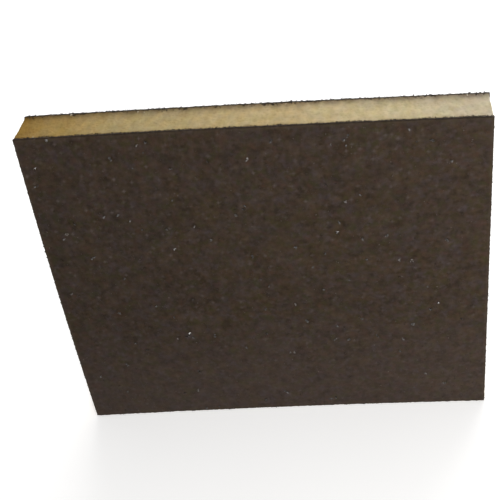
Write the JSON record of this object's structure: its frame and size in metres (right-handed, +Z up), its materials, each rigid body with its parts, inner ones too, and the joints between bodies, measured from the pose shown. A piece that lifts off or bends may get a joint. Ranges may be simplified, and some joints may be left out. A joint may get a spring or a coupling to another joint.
{
  "type": "sanding block",
  "caption": "Thin rectangular foam sanding pad, coated with brown abrasive on both faces, with bare cream foam at its cut edges.",
  "frame": {"origin": "centre of the bottom long cut edge face, which the pad stands on", "axes": "+X along the pad's length, +Y through its thickness from the front abrasive face to the back one, +Z up along its width"},
  "size_m": [0.12, 0.0126, 0.1],
  "materials": {
    "foam": "matte",
    "barrier_latex": "matte",
    "make_resin": "satin",
    "abrasive_grain": "matte",
    "size_resin": "satin"
  },
  "bodies": {
    "root": {"foam_core": "foam", "front_barrier_coat": "barrier_latex", "front_make_coat": "make_resin", "front_grain_layer": "abrasive_grain", "front_size_coat": "size_resin", "back_barrier_coat": "barrier_latex", "back_make_coat": "make_resin", "back_grain_layer": "abrasive_grain", "back_size_coat": "size_resin"}
  },
  "joints": []
}
